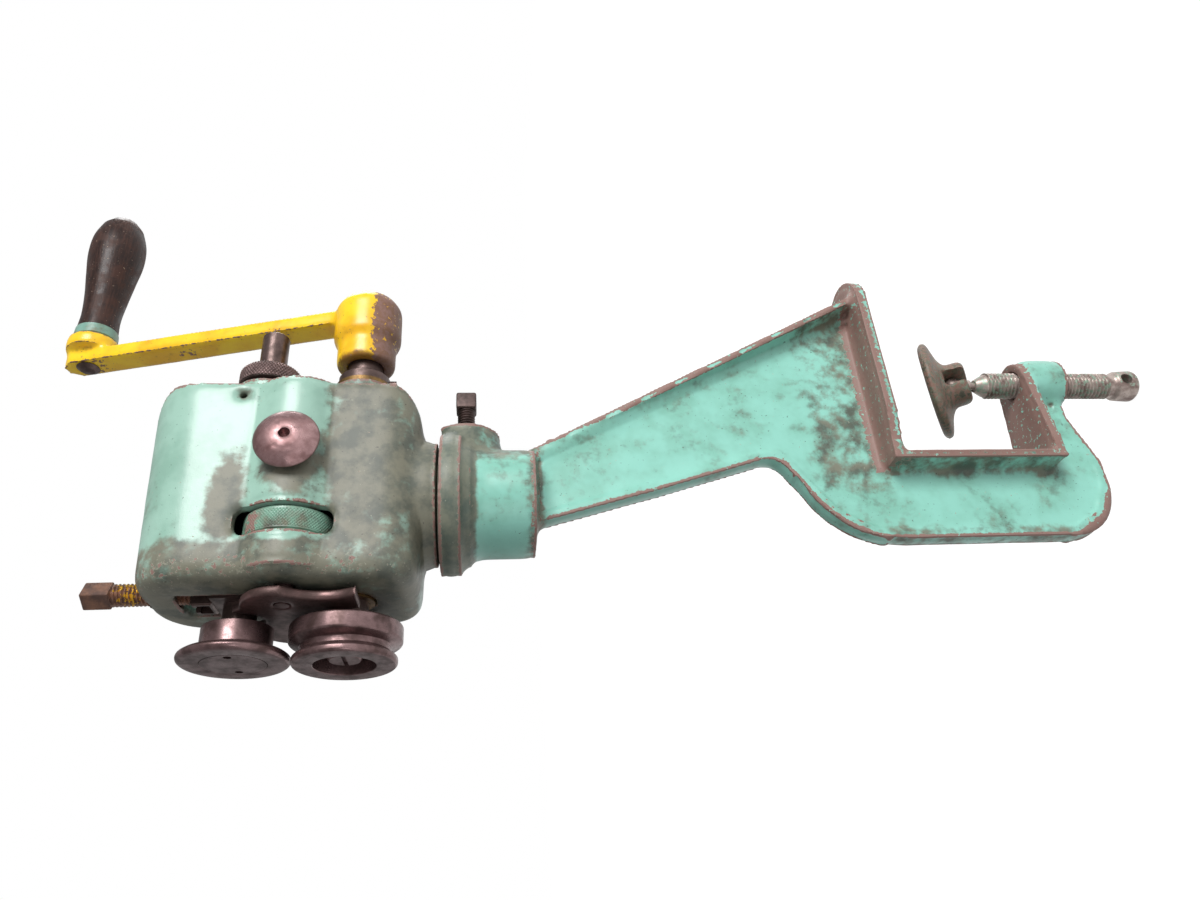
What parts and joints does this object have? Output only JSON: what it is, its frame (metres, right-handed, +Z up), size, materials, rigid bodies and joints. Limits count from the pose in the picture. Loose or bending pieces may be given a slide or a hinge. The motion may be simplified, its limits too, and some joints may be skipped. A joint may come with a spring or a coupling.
{
  "type": "bead roller",
  "caption": "Hand-cranked bead rolling head with geared rolls, pressure screw and edge gauge, swivelling on a cast bench clamp standard.",
  "frame": {"origin": "on the bench face of the foot, on the axis of the clamp screw", "axes": "+Z up in use, -Y towards the rolls, +Y towards the crank, +X towards the gauge's lock knob"},
  "size_m": [0.1163, 0.3204, 0.6563],
  "materials": {
    "green_enamel": "old brushed enamel, chipped and greasy",
    "yellow_enamel": "old gloss enamel, chipped to brown iron",
    "aqua_enamel": "worn enamel",
    "dark_wood": "dark varnish, scratched",
    "roll_steel": "turned, browned with age",
    "shaft_steel": "turned, oiled",
    "oiled_steel": "dark, threaded or knurled",
    "gear_iron": "machined, greased",
    "pad_iron": "bare, brown",
    "bronze": "dull"
  },
  "bodies": {
    "standard": {"bench_standard": "green_enamel"},
    "clamp_nose": {"swivel_button": "oiled_steel"},
    "clamp_screw": {"clamp_screw": "oiled_steel"},
    "clamp_pad": {"clamp_pad": "pad_iron"},
    "socket_plug": {"socket_plug": "bronze"},
    "socket_screw": {"socket_screw": "oiled_steel"},
    "head": {"head_housing": "green_enamel", "side_cover": "green_enamel", "cover_screws": "shaft_steel", "lower_front_bush": "bronze", "lower_rear_bush": "bronze"},
    "crank": {"lower_shaft": "shaft_steel", "lower_gear": "gear_iron", "lower_gear_key": "shaft_steel", "lower_roll": "roll_steel", "lower_roll_screw": "roll_steel", "shaft_collar": "shaft_steel", "collar_screw": "shaft_steel", "crank_arm": "yellow_enamel", "grip_pin": "shaft_steel"},
    "grip": {"grip_ferrule": "aqua_enamel", "grip_wood": "dark_wood"},
    "upper_carrier": {"upper_block": "oiled_steel", "pivot_bush": "shaft_steel"},
    "upper_thrust": {"thrust_washer": "shaft_steel"},
    "upper_shaft": {"upper_shaft": "shaft_steel", "upper_gear": "gear_iron", "upper_gear_key": "shaft_steel", "upper_roll": "roll_steel", "upper_roll_nut": "roll_steel"},
    "alignment_nut": {"alignment_nut": "oiled_steel"},
    "pressure_pad": {"thrust_pad": "bronze"},
    "pressure_screw": {"pressure_screw": "oiled_steel"},
    "gauge_wheel": {"gauge_wheel": "roll_steel"},
    "gauge": {"gauge_stem": "roll_steel", "gauge_plate": "roll_steel"},
    "lock_shoe": {"lock_shoe": "bronze"},
    "gauge_knob": {"gauge_lock_knob": "roll_steel"}
  },
  "joints": [
    {"name": "clamp_turn", "type": "hinge", "parent": "clamp_nose", "child": "clamp_screw", "pos_m": [0, 0, -0.1], "axis": [0, 0, 1], "range_deg": [-3125, 3435]},
    {"name": "clamp_feed", "type": "slide", "parent": "standard", "child": "clamp_nose", "axis": [0, 0, 1], "range_m": [-0.02, 0.022]},
    {"name": "pad_tilt", "type": "hinge", "parent": "clamp_nose", "child": "clamp_pad", "pos_m": [0, 0, -0.0515], "axis": [0, 1, 0], "range_deg": [0, 68]},
    {"name": "socket_screw_turn", "type": "hinge", "parent": "socket_plug", "child": "socket_screw", "pos_m": [0, -0.03, 0.2415], "axis": [0, 1, 0], "range_deg": [0, 750]},
    {"name": "socket_plug_feed", "type": "slide", "parent": "standard", "child": "socket_plug", "axis": [0, 1, 0], "range_m": [0, 0.0033]},
    {"name": "head_swivel", "type": "hinge", "parent": "standard", "child": "head", "pos_m": [0, -0.076, 0.255], "axis": [0, 0, 1], "continuous": true},
    {"name": "crank_spin", "type": "hinge", "parent": "head", "child": "crank", "pos_m": [0, -0.05, 0.298], "axis": [0, 1, 0], "continuous": true},
    {"name": "grip_spin", "type": "hinge", "parent": "crank", "child": "grip", "pos_m": [-0.04394, 0.1, 0.46791], "axis": [0, 1, 0], "continuous": true},
    {"name": "upper_shaft_tilt", "type": "hinge", "parent": "head", "child": "upper_carrier", "pos_m": [0, -0.028, 0.3488], "axis": [-1, 0, 0], "range_deg": [0, 3.07]},
    {"name": "upper_end_shift", "type": "slide", "parent": "upper_carrier", "child": "upper_thrust", "axis": [0, 1, 0], "range_m": [-0.0006, 0.0006]},
    {"name": "upper_shaft_spin", "type": "hinge", "parent": "upper_thrust", "child": "upper_shaft", "pos_m": [0, -0.05, 0.3488], "axis": [0, 1, 0], "continuous": true},
    {"name": "alignment_nut_turn", "type": "hinge", "parent": "upper_thrust", "child": "alignment_nut", "pos_m": [0, 0, 0.3488], "axis": [0, 1, 0], "range_deg": [-171, 171]},
    {"name": "pressure_feed", "type": "slide", "parent": "head", "child": "pressure_pad", "axis": [0, 0, 1], "range_m": [0, 0.005]},
    {"name": "pressure_turn", "type": "hinge", "parent": "pressure_pad", "child": "pressure_screw", "pos_m": [0, -0.1215, 0.4], "axis": [0, 0, 1], "range_deg": [0, 994]},
    {"name": "gauge_wheel_turn", "type": "hinge", "parent": "head", "child": "gauge_wheel", "pos_m": [0.021, -0.101, 0.325], "axis": [0, 1, 0], "range_deg": [-512, 711]},
    {"name": "gauge_slide", "type": "slide", "parent": "head", "child": "gauge", "axis": [0, -1, 0], "range_m": [-0.0018, 0.0025]},
    {"name": "gauge_knob_turn", "type": "hinge", "parent": "lock_shoe", "child": "gauge_knob", "pos_m": [0.05, -0.0637, 0.325], "axis": [1, 0, 0], "range_deg": [-705, 0]},
    {"name": "lock_shoe_feed", "type": "slide", "parent": "head", "child": "lock_shoe", "axis": [1, 0, 0], "range_m": [0, 0.0031]}
  ],
  "couplings": [
    {"joint": "clamp_turn", "follows": "clamp_feed", "rad_per_m": 2721.2},
    {"joint": "socket_screw_turn", "follows": "socket_plug_feed", "rad_per_m": 3957.9},
    {"joint": "upper_shaft_spin", "follows": "crank_spin", "ratio": -1},
    {"joint": "alignment_nut_turn", "follows": "upper_end_shift", "rad_per_m": 4947.4},
    {"joint": "pressure_turn", "follows": "pressure_feed", "rad_per_m": 3463.7},
    {"joint": "upper_shaft_tilt", "follows": "pressure_feed", "rad_per_m": 10.695},
    {"joint": "gauge_wheel_turn", "follows": "gauge_slide", "rad_per_m": 4947.4},
    {"joint": "gauge_knob_turn", "follows": "lock_shoe_feed", "rad_per_m": -3957.9}
  ]
}
